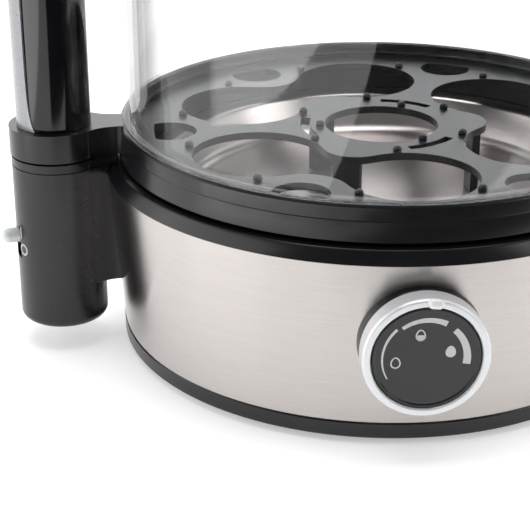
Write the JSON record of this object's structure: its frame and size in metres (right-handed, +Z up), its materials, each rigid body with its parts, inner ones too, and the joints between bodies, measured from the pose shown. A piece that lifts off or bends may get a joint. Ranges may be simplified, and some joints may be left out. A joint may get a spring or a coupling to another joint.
{
  "type": "egg cooker",
  "caption": "Electric egg steamer: round heated base with side pillar switch and rotary ring control, lift-out egg tray with post handle, clear domed lid.",
  "frame": {"origin": "on the table, below the middle of the heating dish", "axes": "+Z up; -Y towards the user, where the rotary control faces; -X towards the pillar, the ear of the tray and the handle"},
  "size_m": [0.2323, 0.2059, 0.1841],
  "materials": {
    "black_plastic": "glossy moulded",
    "satin_black": "satin moulded",
    "brushed_steel": "brushed round the band",
    "dish_steel": "polished pressed sheet",
    "silver_lacquer": "satin silver lacquer",
    "clear_plastic": "clear moulded",
    "white_clear": "milky clear moulded",
    "dial_black": "printed gloss",
    "rubber_black": "matt",
    "silicone": "milky silicone",
    "zinc_steel": "zinc plated",
    "aluminium": "cast",
    "heater_sheath": "heat tinted",
    "ceramic": "moulded",
    "brass_nut": "plain",
    "board_green": "solder mask",
    "lead_insulation": "silicone insulated"
  },
  "bodies": {
    "base": {"base_pan": "black_plastic", "rubber_feet": "rubber_black", "base_screws": "zinc_steel", "steel_band": "brushed_steel", "top_collar": "black_plastic", "cord_inlet": "rubber_black", "heating_dish": "dish_steel", "dish_seal": "silicone", "heat_plate": "aluminium", "heating_element": "heater_sheath", "dish_strap": "zinc_steel", "strap_nut": "brass_nut", "thermostat": "ceramic", "thermal_fuse": "zinc_steel", "pillar_housing": "satin_black", "pillar_cap": "satin_black", "switch_body": "ceramic", "knob_bezel": "black_plastic", "dial_disc": "dial_black", "dial_post": "zinc_steel", "regulator_body": "board_green", "circuit_board": "board_green", "buzzer": "satin_black", "internal_leads": "lead_insulation"},
    "knob": {"knob_ring": "silver_lacquer", "knob_marker": "clear_plastic"},
    "switch": {"switch_nub": "white_clear"},
    "tray": {"tray_ring": "black_plastic", "egg_rack": "black_plastic", "rack_pins": "black_plastic", "handle_core": "black_plastic", "handle_cover": "silver_lacquer", "handle_screw": "zinc_steel"},
    "lid": {"lid_dome": "clear_plastic", "lid_knob": "black_plastic", "lid_washer": "silicone", "lid_screw": "zinc_steel"}
  },
  "joints": [
    {"name": "control_turn", "type": "hinge", "parent": "base", "child": "knob", "pos_m": [-0.00426, -0.09951, 0.0377], "axis": [0.0427, 0.9991, 0], "range_deg": [-125, 94]},
    {"name": "switch_slide", "type": "slide", "parent": "base", "child": "switch", "axis": [0, 0, 1], "range_m": [-0.005, 0]},
    {"name": "tray_lift", "type": "slide", "parent": "base", "child": "tray", "axis": [0, 0, 1], "range_m": [0, 0.12]},
    {"name": "lid_lift", "type": "slide", "parent": "tray", "child": "lid", "axis": [0, 0, 1], "range_m": [0, 0.1]}
  ]
}
